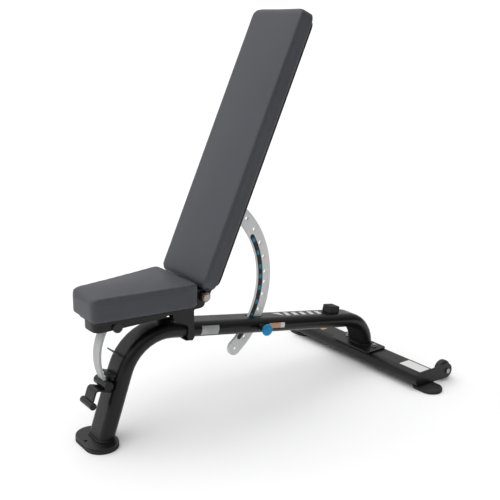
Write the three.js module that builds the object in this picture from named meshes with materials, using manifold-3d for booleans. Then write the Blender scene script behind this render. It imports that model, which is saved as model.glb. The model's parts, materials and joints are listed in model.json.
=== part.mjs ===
// An adjustable weight bench: a bent main beam on a wide crossbar, a long back pad that hinges on a
// cross axle and is locked by a pop pin in a drilled arc plate, and a seat pad held up by a strut
// that hooks onto a three-step ladder on the front leg.
//
// Millimetres, +X towards the rear wheels, +Z up. Everything is drawn about the cross axle, which is
// the back pad's hinge, and the finished bench is then moved so that it stands on Z = 0.
import * as THREE from "three";
import { mergeVertices } from "three/addons/utils/BufferGeometryUtils.js";
import Module from "manifold-3d";

const wasm = await Module();
wasm.setup();

// ---- Driving dimensions ----
const AXLE_HEIGHT = 427;
const FLOOR = -AXLE_HEIGHT;
const GAP = 0.3;
const ROOM = 0.9; // added to the radius of a hole that a shaft or hub passes through

// Flat-oval steel tube, 2 x 4 inch, laid with its wide side across the bench.
const TUBE_WIDTH = 101.6;
const TUBE_HEIGHT = 50.8;
const TUBE_WALL = 3;
const TUBE_HALF = TUBE_HEIGHT / 2;
const FLAT_HALF = (TUBE_WIDTH - TUBE_HEIGHT) / 2;

const BEAM_SLOPE = 10; // degrees, falling towards the rear
const BEAM_DROP = 125.4; // beam centre line below the axle
const LEG_LEAN = 20; // degrees from vertical
const LEG_BEND = 152;
const REAR_BEND = 115;
const BEAM_SPLIT = -18; // where the leg tube meets the rear tube, inside the upright

const CROSSBAR = { x: 762, length: 656, wall: 3 };
const REAR_FOOT = { radius: 40, straight: 31, y: 340.5, thick: 12 };
const FRONT_FOOT = { x: -342, radius: 52, straight: 64, rubber: 11, steel: 6 };
const SADDLE = { front: 706, rear: 800, half: 102, thick: 6, boltX: 769, boltY: 70 };
const WHEEL = { x: 874, radius: 33, width: 24, y: 309.5 };
const BRACKET = { thick: 6, end: 27 };

const BACK_ANGLE = 65; // degrees from horizontal, as built
const BACK = { width: 254, length: 903, low: 24, face: 46.6, rear: -9, corner: 34 };
const BOARD = 12;
const SPINE = { width: 50, front: -29, rear: -69, low: 62, high: 800, wall: 2.5 };
const ARC = { outer: 322, inner: 271, holes: 300.3, hole: 7, thick: 10 };
const HOLE_ANGLES = [41.5, 31.6, 21.3, 11.3, 0.9, -6, -14.1, -24.2, -34.2, -44.3, -54.3];
const PIN_ANGLE = -34.2;

const SEAT = { front: -366, rear: -56, frontWidth: 150, rearWidth: 254, bottom: -17, top: 58 };
const SEAT_FRAME = { front: -350, rear: -110, half: 45, top: -29.5, bottom: -59, wall: 3 };

const HUB = { outer: 17, bore: 13.3, length: 38, inner: 60 };
const AXLE_RADIUS = 10;
const UPRIGHT = { inner: 51.2, thick: 6 };

const STRUT = { x: -280, z: -52, radius: 176, width: 40, thick: 8 };
const T_BAR = { x: -311, z: -237, radius: 15, half: 39 };

// ---- Finishes ----
const FINISH = {
  frame: { color: 0x1c1d1e, roughness: 0.45, metalness: 0.3 },
  vinyl: { color: 0x4c5058, roughness: 0.6, metalness: 0 },
  board: { color: 0x151617, roughness: 0.8, metalness: 0 },
  zinc: { color: 0xb9bdbf, roughness: 0.35, metalness: 0.9 },
  bronze: { color: 0xa8683c, roughness: 0.4, metalness: 0.9 },
  blue: { color: 0x1f87c4, roughness: 0.4, metalness: 0 },
  rubber: { color: 0x1b1b1b, roughness: 0.9, metalness: 0 },
  plastic: { color: 0x202122, roughness: 0.6, metalness: 0 },
};

const rad = THREE.MathUtils.degToRad;
const bench = new THREE.Group();

// A group turned about the axle, so that its x runs along a direction in the XZ plane.
function turned(degrees, x = 0, z = 0) {
  const group = new THREE.Group();
  group.rotation.y = -rad(degrees);
  group.position.set(x, 0, z);
  bench.add(group);
  return group;
}

function add(name, finish, geometry, parent = bench) {
  const mesh = new THREE.Mesh(geometry, new THREE.MeshStandardMaterial(FINISH[finish]));
  mesh.name = name;
  parent.add(mesh);
  return mesh;
}

// ---- Solids ----
function solid(geometry) {
  const bare = geometry.clone();
  bare.deleteAttribute("normal");
  bare.deleteAttribute("uv");
  const merged = mergeVertices(bare, 1e-4);
  return new wasm.Manifold(
    new wasm.Mesh({
      numProp: 3,
      vertProperties: new Float32Array(merged.attributes.position.array),
      triVerts: new Uint32Array(merged.index.array),
    }),
  );
}

function geometryOf(body) {
  const mesh = body.getMesh();
  const geometry = new THREE.BufferGeometry();
  geometry.setAttribute("position", new THREE.BufferAttribute(mesh.vertProperties, 3));
  geometry.setIndex(new THREE.BufferAttribute(mesh.triVerts, 1));
  return geometry;
}

function cut(geometry, ...tools) {
  return geometryOf(tools.reduce((body, tool) => body.subtract(solid(tool)), solid(geometry)));
}

function join(geometry, ...more) {
  return geometryOf(more.reduce((body, piece) => body.add(solid(piece)), solid(geometry)));
}

function common(geometry, other) {
  return geometryOf(solid(geometry).intersect(solid(other)));
}

function block(x0, x1, y0, y1, z0, z1) {
  return new THREE.BoxGeometry(x1 - x0, y1 - y0, z1 - z0).translate(
    (x0 + x1) / 2,
    (y0 + y1) / 2,
    (z0 + z1) / 2,
  );
}

// A round bar across the bench, from y0 to y1.
function bar(radius, y0, y1, x = 0, z = 0, sides = 24) {
  return new THREE.CylinderGeometry(radius, radius, y1 - y0, sides).translate(x, (y0 + y1) / 2, z);
}

function upright(radius, z0, z1, x, y, sides = 24) {
  const rod = new THREE.CylinderGeometry(radius, radius, z1 - z0, sides);
  return rod.rotateX(Math.PI / 2).translate(x, y, (z0 + z1) / 2);
}

// A turned piece with its axis across the bench; the profile is [radius, y] pairs.
function turnedPiece(profile, x = 0, z = 0, sides = 28) {
  const points = profile.map(([radius, y]) => new THREE.Vector2(radius, y));
  return new THREE.LatheGeometry([...points, points[0].clone()], sides).translate(x, 0, z);
}

// A closed outline, counterclockwise, whose corners are [x, y, rounding radius].
function outline(corners, path = new THREE.Shape()) {
  const at = (i) => new THREE.Vector2(...corners[(i + corners.length) % corners.length]);
  corners.forEach(([, , radius = 0], i) => {
    const corner = at(i);
    const back = at(i - 1).sub(corner).normalize();
    const ahead = at(i + 1).sub(corner).normalize();
    const run = radius / Math.tan(back.angleTo(ahead) / 2);
    const first = corner.clone().addScaledVector(back, run);
    const last = corner.clone().addScaledVector(ahead, run);
    if (i === 0) path.moveTo(first.x, first.y);
    else path.lineTo(first.x, first.y);
    if (radius > 0) path.quadraticCurveTo(corner.x, corner.y, last.x, last.y);
  });
  path.closePath();
  return path;
}

function circleHole(x, z, radius) {
  return new THREE.Path().absarc(x, z, radius, 0, 2 * Math.PI, true);
}

// A plate drawn in the XZ plane and filled from y0 to y1.
function plate(shape, y0, y1, curveSegments = 6) {
  const options = { depth: y1 - y0, bevelEnabled: false, curveSegments };
  return new THREE.ExtrudeGeometry(shape, options).rotateX(Math.PI / 2).translate(0, y1, 0);
}

// A slab drawn in the XY plane and filled from z0 to z1.
function slab(shape, z0, z1, curveSegments = 6) {
  const options = { depth: z1 - z0, bevelEnabled: false, curveSegments };
  return new THREE.ExtrudeGeometry(shape, options).translate(0, 0, z0);
}

function obround(halfStraight, radius, path = new THREE.Shape()) {
  path.absarc(halfStraight, 0, radius, -Math.PI / 2, Math.PI / 2, false);
  path.absarc(-halfStraight, 0, radius, Math.PI / 2, 1.5 * Math.PI, false);
  path.closePath();
  return path;
}

function tubeSection(wall = TUBE_WALL) {
  const section = obround(FLAT_HALF, TUBE_HALF);
  section.holes.push(obround(FLAT_HALF, TUBE_HALF - wall, new THREE.Path()));
  return section;
}

// Two straight runs joined by one round bend, in the XZ plane. A sweep along it takes one step for
// each straight run and the other steps for the bend.
class BentLine extends THREE.Curve {
  constructor(start, corner, end, radius, steps) {
    super();
    this.before = corner.clone().sub(start).normalize();
    this.after = end.clone().sub(corner).normalize();
    this.turn = this.before.angleTo(this.after);
    this.radius = radius;
    const run = radius * Math.tan(this.turn / 2);
    this.start = start;
    this.end = end;
    this.bend = corner.clone().addScaledVector(this.before, -run);
    this.leave = corner.clone().addScaledVector(this.after, run);
    this.inward = this.after.clone().addScaledVector(this.before, -Math.cos(this.turn)).normalize();
    this.steps = steps;
  }

  getPoint(t, target = new THREE.Vector3()) {
    const last = this.steps - 1;
    const at = t * this.steps;
    if (at <= 1) return target.copy(this.start).lerp(this.bend, at);
    if (at >= last) return target.copy(this.leave).lerp(this.end, at - last);
    const angle = (this.turn * (at - 1)) / (last - 1);
    return target
      .copy(this.bend)
      .addScaledVector(this.before, this.radius * Math.sin(angle))
      .addScaledVector(this.inward, this.radius * (1 - Math.cos(angle)));
  }

  getUtoTmapping(u) {
    return u;
  }
}

function sweep(section, path, steps, curveSegments = 6) {
  const options = { extrudePath: path, steps, curveSegments, bevelEnabled: false };
  return new THREE.ExtrudeGeometry(section, options);
}

// A hex-head bolt standing on a flat: head, washer and shank down the -Z side of z.
function bolt(x, y, z, shank = 0, head = 9) {
  const washer = upright(head * 1.25, z + GAP, z + GAP + 2, x, y, 20);
  const hexagon = upright(head, z + GAP + 1, z + GAP + 8, x, y, 6);
  const pieces = [hexagon];
  if (shank > 0) pieces.push(upright(head * 0.44, z - shank, z + GAP + 2, x, y, 12));
  return join(washer, ...pieces);
}

// ---- Lines of the frame ----
const slope = Math.tan(rad(BEAM_SLOPE));
const lean = Math.tan(rad(LEG_LEAN));
const beamZ = (x) => -BEAM_DROP - slope * x;
const beamTop = (x) => beamZ(x) + TUBE_HALF / Math.cos(rad(BEAM_SLOPE));
const beamBottom = (x) => beamZ(x) - TUBE_HALF / Math.cos(rad(BEAM_SLOPE));
const LEG_FOOT_X = -317.4; // leg centre line at the height LEG_FOOT_Z
const LEG_FOOT_Z = -386;
const legX = (z) => LEG_FOOT_X + lean * (z - LEG_FOOT_Z);
const frontCornerX = (legX(0) - lean * BEAM_DROP) / (1 + lean * slope);
const frontCorner = new THREE.Vector3(frontCornerX, 0, beamZ(frontCornerX));
const rearCorner = new THREE.Vector3(CROSSBAR.x, 0, beamZ(CROSSBAR.x));
const crossbarBottom = FLOOR + REAR_FOOT.thick + GAP;
const crossbarZ = crossbarBottom + TUBE_HALF;
const crossbarTop = crossbarZ + TUBE_HALF;

// ---- Frame: main tubes ----
function sweepBent(start, corner, end, radius) {
  const steps = 11;
  return sweep(tubeSection(), new BentLine(start, corner, end, radius, steps), steps, 5);
}

function frontLegTube() {
  const foot = FLOOR - 20;
  const start = new THREE.Vector3(BEAM_SPLIT - GAP, 0, beamZ(BEAM_SPLIT - GAP));
  const end = new THREE.Vector3(legX(foot), 0, foot);
  const tube = sweepBent(start, frontCorner, end, LEG_BEND);
  const footTop = FLOOR + FRONT_FOOT.rubber + FRONT_FOOT.steel + 2 * GAP;
  return cut(tube, block(-500, -200, -80, 80, FLOOR - 80, footTop));
}

function mainBeamTube() {
  const start = new THREE.Vector3(BEAM_SPLIT, 0, beamZ(BEAM_SPLIT));
  const end = new THREE.Vector3(CROSSBAR.x, 0, crossbarTop + SADDLE.thick + 2 * GAP);
  const tube = sweepBent(start, rearCorner, end, REAR_BEND);
  const arcSlot = new THREE.Shape().absarc(0, 0, ARC.outer + 5, rad(-60), rad(-12), false);
  arcSlot.absarc(0, 0, ARC.inner - 9, rad(-12), rad(-60), true);
  const pinX = ARC.holes * Math.cos(rad(PIN_ANGLE));
  const pinZ = ARC.holes * Math.sin(rad(PIN_ANGLE));
  return cut(tube, plate(arcSlot, -8, 8, 10), bar(9.5, -60, -30, pinX, pinZ));
}

function crossbarTube() {
  const half = CROSSBAR.length / 2;
  return plate(tubeSection(CROSSBAR.wall), -half, half).translate(CROSSBAR.x, 0, crossbarZ);
}

add("front_leg_tube", "frame", frontLegTube());
add("main_beam_tube", "frame", mainBeamTube());
add("crossbar_tube", "frame", crossbarTube());

// ---- Frame: rear saddle, crossbar ends, feet and wheels ----
const saddleTop = crossbarTop + GAP + SADDLE.thick;

function saddlePlate() {
  const { front, rear, half } = SADDLE;
  const corners = [
    [front, -half, 12],
    [rear, -half, 12],
    [rear, half, 12],
    [front, half, 12],
  ];
  return slab(outline(corners), crossbarTop + GAP, saddleTop, 3);
}

// The plate that closes a crossbar end and reaches back to carry a wheel.
function endBracket(side) {
  const inner = CROSSBAR.length / 2 + GAP;
  const { thick, end } = BRACKET;
  const front = CROSSBAR.x - FLAT_HALF;
  const axleZ = crossbarTop - end;
  const shape = new THREE.Shape();
  shape.absarc(front, crossbarZ, TUBE_HALF, rad(90), rad(270), false);
  shape.lineTo(CROSSBAR.x + REAR_FOOT.radius + 6, crossbarBottom);
  shape.absarc(WHEEL.x - 2, axleZ, end, rad(-90), rad(90), false);
  shape.closePath();
  shape.holes.push(circleHole(WHEEL.x, axleZ, 5.3));
  const y0 = side < 0 ? -inner - thick : inner;
  return plate(shape, y0, y0 + thick, 8);
}

function wheel(side) {
  const half = WHEEL.width / 2;
  const y = side * WHEEL.y;
  const profile = [
    [5.4, y - half],
    [WHEEL.radius - 4, y - half],
    [WHEEL.radius, y - half + 4],
    [WHEEL.radius, y + half - 4],
    [WHEEL.radius - 4, y + half],
    [5.4, y + half],
  ];
  return turnedPiece(profile, WHEEL.x, crossbarTop - BRACKET.end, 28);
}

// The bolt that a wheel turns on, with its nut on the inner side.
function wheelBolt(side) {
  const z = crossbarTop - BRACKET.end;
  const outer = CROSSBAR.length / 2 + BRACKET.thick + 2 * GAP;
  const inner = WHEEL.y - WHEEL.width / 2 - GAP;
  const span = (radius, a, b, sides) =>
    bar(radius, Math.min(side * a, side * b), Math.max(side * a, side * b), WHEEL.x, z, sides);
  return join(span(5, inner - 6, outer + 1, 16), span(9, outer, outer + 5, 24), span(9, inner - 6, inner, 6));
}

const rearFootShape = () => {
  const { radius, straight } = REAR_FOOT;
  return obround(straight / 2, radius);
};

add("rear_saddle_plate", "frame", saddlePlate());
for (const [side, sign] of [["near", -1], ["far", 1]]) {
  const foot = slab(rearFootShape(), 0, REAR_FOOT.thick, 10).rotateZ(Math.PI / 2);
  add(`rear_foot_${side}`, "rubber", foot).position.set(CROSSBAR.x + 2, sign * REAR_FOOT.y, FLOOR);
  add(`end_bracket_${side}`, "frame", endBracket(sign));
  add(`wheel_${side}`, "plastic", wheel(sign));
  add(`wheel_bolt_${side}`, "zinc", wheelBolt(sign));
  add(`saddle_bolt_${side}`, "zinc", bolt(SADDLE.boltX, sign * SADDLE.boltY, saddleTop));
}

// ---- Frame: front foot ----
function frontFoot(z0, z1, radius) {
  const shape = obround(FRONT_FOOT.straight / 2, radius);
  shape.holes.push(circleHole(0, 38, 5));
  return slab(shape, z0, z1, 10).rotateZ(Math.PI / 2).translate(FRONT_FOOT.x, 0, 0);
}

const rubberTop = FLOOR + FRONT_FOOT.rubber;
add("front_foot_pad", "rubber", frontFoot(FLOOR, rubberTop, FRONT_FOOT.radius));
const steelTop = rubberTop + GAP + FRONT_FOOT.steel;
add("front_foot_plate", "frame", frontFoot(rubberTop + GAP, steelTop, FRONT_FOOT.radius - 1));

// ---- Frame: upright that carries the axle ----
function uprightPlate(side) {
  const bottom = beamBottom(BEAM_SPLIT) + 2;
  const corners = [
    [21, 21, 20],
    [-21, 21, 19],
    [-27, -34, 5],
    [-88, -34, 8],
    [-92, -70, 12],
    [BEAM_SPLIT - 22, -98, 16],
    [BEAM_SPLIT - 24, bottom, 9],
    [BEAM_SPLIT, bottom, 9],
    [BEAM_SPLIT, -49, 5],
    [24, -49, 20],
  ];
  const shape = outline(corners);
  shape.holes.push(circleHole(0, 0, AXLE_RADIUS + ROOM));
  const y0 = side < 0 ? -UPRIGHT.inner - UPRIGHT.thick : UPRIGHT.inner;
  return plate(shape, y0, y0 + UPRIGHT.thick);
}

// The strap that ties the two upright plates together lies along the underside of the beam.
const STRAP = { x: BEAM_SPLIT - 15, half: 14, thick: 5 };

function uprightStrap() {
  const reach = UPRIGHT.inner - GAP;
  return block(-STRAP.half, STRAP.half, -reach, reach, -STRAP.thick, 0);
}

add("upright_plate_near", "frame", uprightPlate(-1));
add("upright_plate_far", "frame", uprightPlate(1));
const strapLine = turned(-BEAM_SLOPE, STRAP.x, beamBottom(STRAP.x) - GAP);
add("upright_strap", "frame", uprightStrap(), strapLine);

// ---- Axle, hubs and bushes ----
const hubEnd = HUB.inner + HUB.length;
const axleHalf = hubEnd + 3.5;

// A bronze bush from y = from to y = to, with a flange beyond its far end.
function bush(from, to) {
  const sleeve = HUB.bore - GAP;
  const flange = HUB.outer - 2.5;
  const bore = AXLE_RADIUS + GAP;
  const profile = [
    [bore, from],
    [sleeve, from],
    [sleeve, to + GAP],
    [flange, to + GAP],
    [flange, to + 3],
    [bore, to + 3],
  ];
  return turnedPiece(profile, 0, 0, 20);
}

function hub(from, to) {
  const { outer, bore } = HUB;
  return turnedPiece([[bore, from], [outer, from], [outer, to], [bore, to]], 0, 0, 24);
}

add("pivot_axle", "zinc", bar(AXLE_RADIUS, -axleHalf, axleHalf, 0, 0, 28));
for (const [side, sign] of [["near", -1], ["far", 1]]) {
  const from = axleHalf + GAP;
  const cap = turnedPiece([[0, from], [12, from], [12, from + 3], [10.5, from + 4.5], [0, from + 4.5]]);
  const mesh = add(`axle_cap_${side}`, "zinc", cap);
  if (sign < 0) mesh.rotation.z = Math.PI;
}

// ---- Pop pin that locks the back pad ----
const pinX = ARC.holes * Math.cos(rad(PIN_ANGLE));
const pinZ = ARC.holes * Math.sin(rad(PIN_ANGLE));

function popPinBarrel() {
  const wall = -TUBE_WIDTH / 2;
  const profile = [
    [5.3, wall - 22],
    [8.6, wall - 22],
    [8.6, wall - 9],
    [12, wall - 9],
    [12, wall - GAP],
    [9.2, wall - GAP],
    [9.2, wall + 8],
    [7.8, wall + 8],
    [7.8, wall - 18],
    [5.3, wall - 18],
  ];
  return turnedPiece(profile, pinX, pinZ, 24);
}

// The spring is drawn at its pulled length, between the pin's collar and the barrel's end wall.
function popPinSpring() {
  const turns = 4;
  const coil = new (class extends THREE.Curve {
    getPoint(t, target = new THREE.Vector3()) {
      const angle = 2 * Math.PI * turns * t;
      return target.set(6.4 * Math.cos(angle), -68 + 6.2 * t, 6.4 * Math.sin(angle));
    }
  })();
  const wire = new THREE.Shape().absarc(0, 0, 0.75, 0, 2 * Math.PI, false);
  return sweep(wire, coil, turns * 8, 2).translate(pinX, 0, pinZ);
}

function popPin() {
  const profile = [[0, -74], [4.8, -74], [4.8, -48], [7.2, -48], [7.2, -45], [4.8, -45], [4.8, -7], [3.6, -5.6]];
  return turnedPiece([...profile, [0, -5.6]], pinX, pinZ, 20);
}

function popPinKnob() {
  const profile = [
    [0, -96],
    [16, -96],
    [20, -92],
    [20, -82],
    [16, -77],
    [9, -75],
    [0, -74.3],
  ];
  return turnedPiece(profile, pinX, pinZ, 32);
}

add("pop_pin_barrel", "frame", popPinBarrel());
add("pop_pin_spring", "zinc", popPinSpring());
add("pop_pin", "zinc", popPin());
add("pop_pin_knob", "blue", popPinKnob());

// ---- Bumper that stops the back pad ten degrees below level ----
const BUMPER = { x: 607, length: 48, width: 40, height: 25, taper: 2 };

function bumperBlock() {
  const { length, width, height, taper } = BUMPER;
  const half = length / 2;
  const shape = outline([
    [-half, 0, 2],
    [half, 0, 2],
    [half - taper, height, 4],
    [taper - half, height, 4],
  ]);
  return plate(shape, -width / 2, width / 2, 3);
}

const beamLine = turned(-BEAM_SLOPE, BUMPER.x, beamTop(BUMPER.x) + GAP);
add("bumper_block", "rubber", bumperBlock(), beamLine);

// ---- Seat ladder and carrying handle on the front leg ----
const LADDER_Z = -266.5; // lowest shelf, on the leg's centre line
const ladder = turned(-LEG_LEAN, legX(LADDER_Z), LADDER_Z);
const face = -TUBE_HALF - GAP;

function handlePlate() {
  const shape = outline([
    [face, -0.5],
    [-80.4, -0.5, 14],
    [-80.4, -40],
    [-74.4, -40],
    [-74.4, -6.5, 8],
    [face, -6.5],
  ]);
  return plate(shape, -27, 27);
}

add("handle_plate", "frame", handlePlate(), ladder);
add("handle_bar", "frame", bar(11, -36, 36, -77.6, -51.7), ladder);
add("ladder_mid_shelf", "frame", block(face - 20, face, -30, 30, 44, 50), ladder);
add("ladder_stop_rod", "frame", bar(6.4, -26, 26, face - 6.6, 37.2, 20), ladder);

function bendCentre(line) {
  return line.bend.clone().addScaledVector(line.inward, line.radius);
}

const legEnd = new THREE.Vector3(legX(FLOOR), 0, FLOOR);
const legLine = new BentLine(new THREE.Vector3(0, 0, beamZ(0)), frontCorner, legEnd, LEG_BEND, 2);
const legCentre = bendCentre(legLine);
const TOP_SHELF_ANGLE = 145;
const topShelf = turned(TOP_SHELF_ANGLE, legCentre.x, legCentre.z);
const shelfStart = LEG_BEND - face;
add("ladder_top_shelf", "frame", block(shelfStart, shelfStart + 25, -36, 36, -2, 2), topShelf);

// ---- Back: pad, board, spine and arc plate, drawn along the pad ----
const back = turned(BACK_ANGLE);
const boardBack = BACK.rear - GAP - BOARD;
const bracketBack = SPINE.front + GAP;

function backPlan(inset, corner) {
  const half = BACK.width / 2 - inset;
  return outline([
    [BACK.low + inset, -half, corner],
    [BACK.low + BACK.length - inset, -half, corner],
    [BACK.low + BACK.length - inset, half, corner],
    [BACK.low + inset, half, corner],
  ]);
}

function backPad() {
  const high = BACK.low + BACK.length;
  const profile = outline([
    [BACK.low, BACK.rear, 5],
    [high, BACK.rear, 5],
    [high, BACK.face, 22],
    [BACK.low, BACK.face, 25],
  ]);
  const side = plate(profile, -BACK.width / 2, BACK.width / 2, 4);
  return common(side, slab(backPlan(0, BACK.corner), BACK.rear - 1, BACK.face + 1, 5));
}

const BRACKETS = [{ name: "lower", at: 115 }, { name: "upper", at: 665 }];
const BOLT_Y = 52;

function boltHoles(depth0, depth1) {
  return BRACKETS.flatMap(({ at }) =>
    [-1, 1].map((sign) => upright(4.4, depth0, depth1, at, sign * BOLT_Y, 12)),
  );
}

function backBoard() {
  const board = slab(backPlan(14, BACK.corner - 6), boardBack, BACK.rear - GAP, 4);
  return cut(board, ...boltHoles(boardBack - 5, boardBack + 7));
}

function backBracket(at) {
  const bracket = block(at - 24, at + 24, -95, 95, bracketBack, boardBack - GAP);
  return cut(bracket, ...boltHoles(bracketBack - 5, boardBack + 5));
}

function backSpine() {
  const half = SPINE.width / 2;
  const { low, high, front, rear, wall } = SPINE;
  return cut(
    block(low, high, -half, half, rear, front),
    block(low - 5, high + 5, -half + wall, half - wall, rear + wall, front - wall),
  );
}

function backArm(side) {
  const armRear = -42;
  const corners = [
    [22, 22, 20],
    [-22, 22, 20],
    [-22, -22, 20],
    [20, -22, 12],
    [70, armRear, 12],
    [150, armRear, 4],
    [150, bracketBack - GAP],
    [36, bracketBack - GAP, 6],
    [22, -6, 10],
  ];
  const shape = outline(corners);
  shape.holes.push(circleHole(0, 0, HUB.outer + ROOM));
  const y0 = side < 0 ? -84 : 76;
  return plate(shape, y0, y0 + 8);
}

function arcPlate() {
  const { outer, inner, holes, hole, thick } = ARC;
  const top = rad(-11);
  const end = rad(HOLE_ANGLES.at(-1) - BACK_ANGLE);
  const middle = (outer + inner) / 2;
  const shape = new THREE.Shape().absarc(0, 0, outer, end, top, false);
  shape.absarc(0, 0, inner, top, end, true);
  const tip = new THREE.Shape();
  const centre = [middle * Math.cos(end), middle * Math.sin(end)];
  tip.absarc(...centre, (outer - inner) / 2, 0, 2 * Math.PI, false);
  const drilled = HOLE_ANGLES.map((angle) => {
    const at = rad(angle - BACK_ANGLE);
    return bar(hole, -thick, thick, holes * Math.cos(at), holes * Math.sin(at), 16);
  });
  const blank = join(plate(shape, -thick / 2, thick / 2, 24), plate(tip, -thick / 2, thick / 2, 12));
  return cut(blank, block(200, 400, -20, 20, SPINE.rear - GAP, 40), ...drilled);
}

add("back_pad", "vinyl", backPad(), back);
add("back_board", "board", backBoard(), back);
add("back_spine", "frame", backSpine(), back);
add("arc_plate", "zinc", arcPlate(), back);
for (const { name, at } of BRACKETS) {
  add(`back_bracket_${name}`, "frame", backBracket(at), back);
  for (const [side, sign] of [["near", -1], ["far", 1]]) {
    const screw = bolt(at, -sign * BOLT_Y, -bracketBack, 12, 7).rotateX(Math.PI);
    add(`back_bolt_${name}_${side}`, "zinc", screw, back);
  }
}
for (const [side, sign] of [["near", -1], ["far", 1]]) {
  const outward = sign < 0 ? Math.PI : 0;
  add(`back_hub_${side}`, "frame", hub(HUB.inner, hubEnd)).rotation.z = outward;
  add(`back_bush_${side}`, "bronze", bush(HUB.inner, hubEnd)).rotation.z = outward;
  add(`back_arm_${side}`, "frame", backArm(sign), back);
}

// ---- Seat: pad, board, frame and hub ----
function seatPlan(inset, corner) {
  const front = SEAT.frontWidth / 2 - inset;
  const rear = SEAT.rearWidth / 2 - inset;
  return outline([
    [SEAT.front + inset, -front, corner],
    [SEAT.rear - inset, -rear, corner],
    [SEAT.rear - inset, rear, corner],
    [SEAT.front + inset, front, corner],
  ]);
}

function seatPad() {
  const { front, rear, bottom, top } = SEAT;
  const profile = outline([
    [front, bottom, 6],
    [rear, bottom, 6],
    [rear, top, 30],
    [front, top, 20],
  ]);
  return common(plate(profile, -130, 130, 5), slab(seatPlan(0, 26), bottom - 1, top + 1, 5));
}

function seatFrameTube() {
  const { front, rear, half, top, bottom, wall } = SEAT_FRAME;
  const plan = outline([
    [front, -half, 30],
    [rear, -half],
    [rear, half],
    [front, half, 30],
  ]);
  return cut(
    slab(plan, bottom, top, 4),
    block(front + 24, rear + 5, wall - half, half - wall, bottom + wall, top - wall),
    block(STRUT.x - 28, STRUT.x + 20, -22, 22, bottom - 5, bottom + wall + 1),
    bar(8.3, -80, 80, STRUT.x, STRUT.z, 20),
  );
}

function seatArm(side) {
  const { rear, top, bottom, wall, half } = SEAT_FRAME;
  const low = bottom + wall + GAP;
  const high = top - wall - GAP;
  const corners = [
    [21, 21, 19],
    [-21, 21, 18],
    [-24, -18, 6],
    [-40, high, 6],
    [rear - 70, high],
    [rear - 70, low],
    [rear + 4, low, 12],
    [-8, -22, 16],
    [21, -21, 18],
  ];
  const shape = outline(corners);
  shape.holes.push(circleHole(0, 0, HUB.outer + ROOM));
  const outer = half - wall - GAP;
  const y0 = side < 0 ? -outer : outer - 6;
  return plate(shape, y0, y0 + 6);
}

add("seat_pad", "vinyl", seatPad());
const seatBoardTop = SEAT.bottom - GAP;
add("seat_board", "board", slab(seatPlan(13, 20), SEAT_FRAME.top + GAP, seatBoardTop, 4));
add("seat_frame_tube", "frame", seatFrameTube());
add("seat_arm_near", "frame", seatArm(-1));
add("seat_arm_far", "frame", seatArm(1));
add("seat_hub", "frame", hub(-46, 46));
add("seat_bush", "bronze", bush(-46, 46));

// ---- Strut that props the seat on the ladder ----
function strutPin() {
  const cap = SEAT_FRAME.half + GAP;
  const ends = [bar(16, -cap - 8, -cap, STRUT.x, STRUT.z), bar(16, cap, cap + 8, STRUT.x, STRUT.z)];
  return join(bar(8, -cap - 2, cap + 2, STRUT.x, STRUT.z, 20), ...ends);
}

const STRUT_CENTRE = { x: -155.5, z: -155 };

function strutBar() {
  const { radius, thick, width } = STRUT;
  const { x, z } = STRUT_CENTRE;
  const shape = new THREE.Shape();
  shape.absarc(x, z, radius, rad(141), rad(212), false);
  shape.absarc(x, z, radius - thick, rad(212), rad(141), true);
  const strap = plate(shape, -width / 2, width / 2, 10);
  const eye = bar(11.5, -width / 2, width / 2, STRUT.x, STRUT.z);
  return cut(join(strap, eye), bar(8.3, -60, 60, STRUT.x, STRUT.z, 20), tBarSpace());
}

const tBarSpace = () => bar(T_BAR.radius + GAP, -60, 60, T_BAR.x, T_BAR.z);

add("strut_pin", "plastic", strutPin());
add("strut_bar", "zinc", strutBar());
add("t_bar", "frame", bar(T_BAR.radius, -T_BAR.half, T_BAR.half, T_BAR.x, T_BAR.z));

// The finished bench, moved to stand on Z = 0 with its origin under the middle of its box.
const box = new THREE.Box3().setFromObject(bench);
const middle = box.getCenter(new THREE.Vector3());
bench.position.set(-middle.x, -middle.y, -FLOOR);
bench.updateMatrixWorld(true);

const part = new THREE.Group();
part.add(bench);

export default part;
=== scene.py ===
# An adjustable weight bench: a bent flat-oval steel beam on a wide crossbar, a hinged back pad locked by
# a drilled arc plate, and a seat pad propped by a strut on a three-step ladder. Metres, the bench's own
# frame: +X towards the rear rollers, +Z up, standing on Z = 0.
import json
import math

import bmesh
import bpy
import numpy as np
from mathutils import Matrix, Vector
from mathutils.bvhtree import BVHTree

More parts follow.
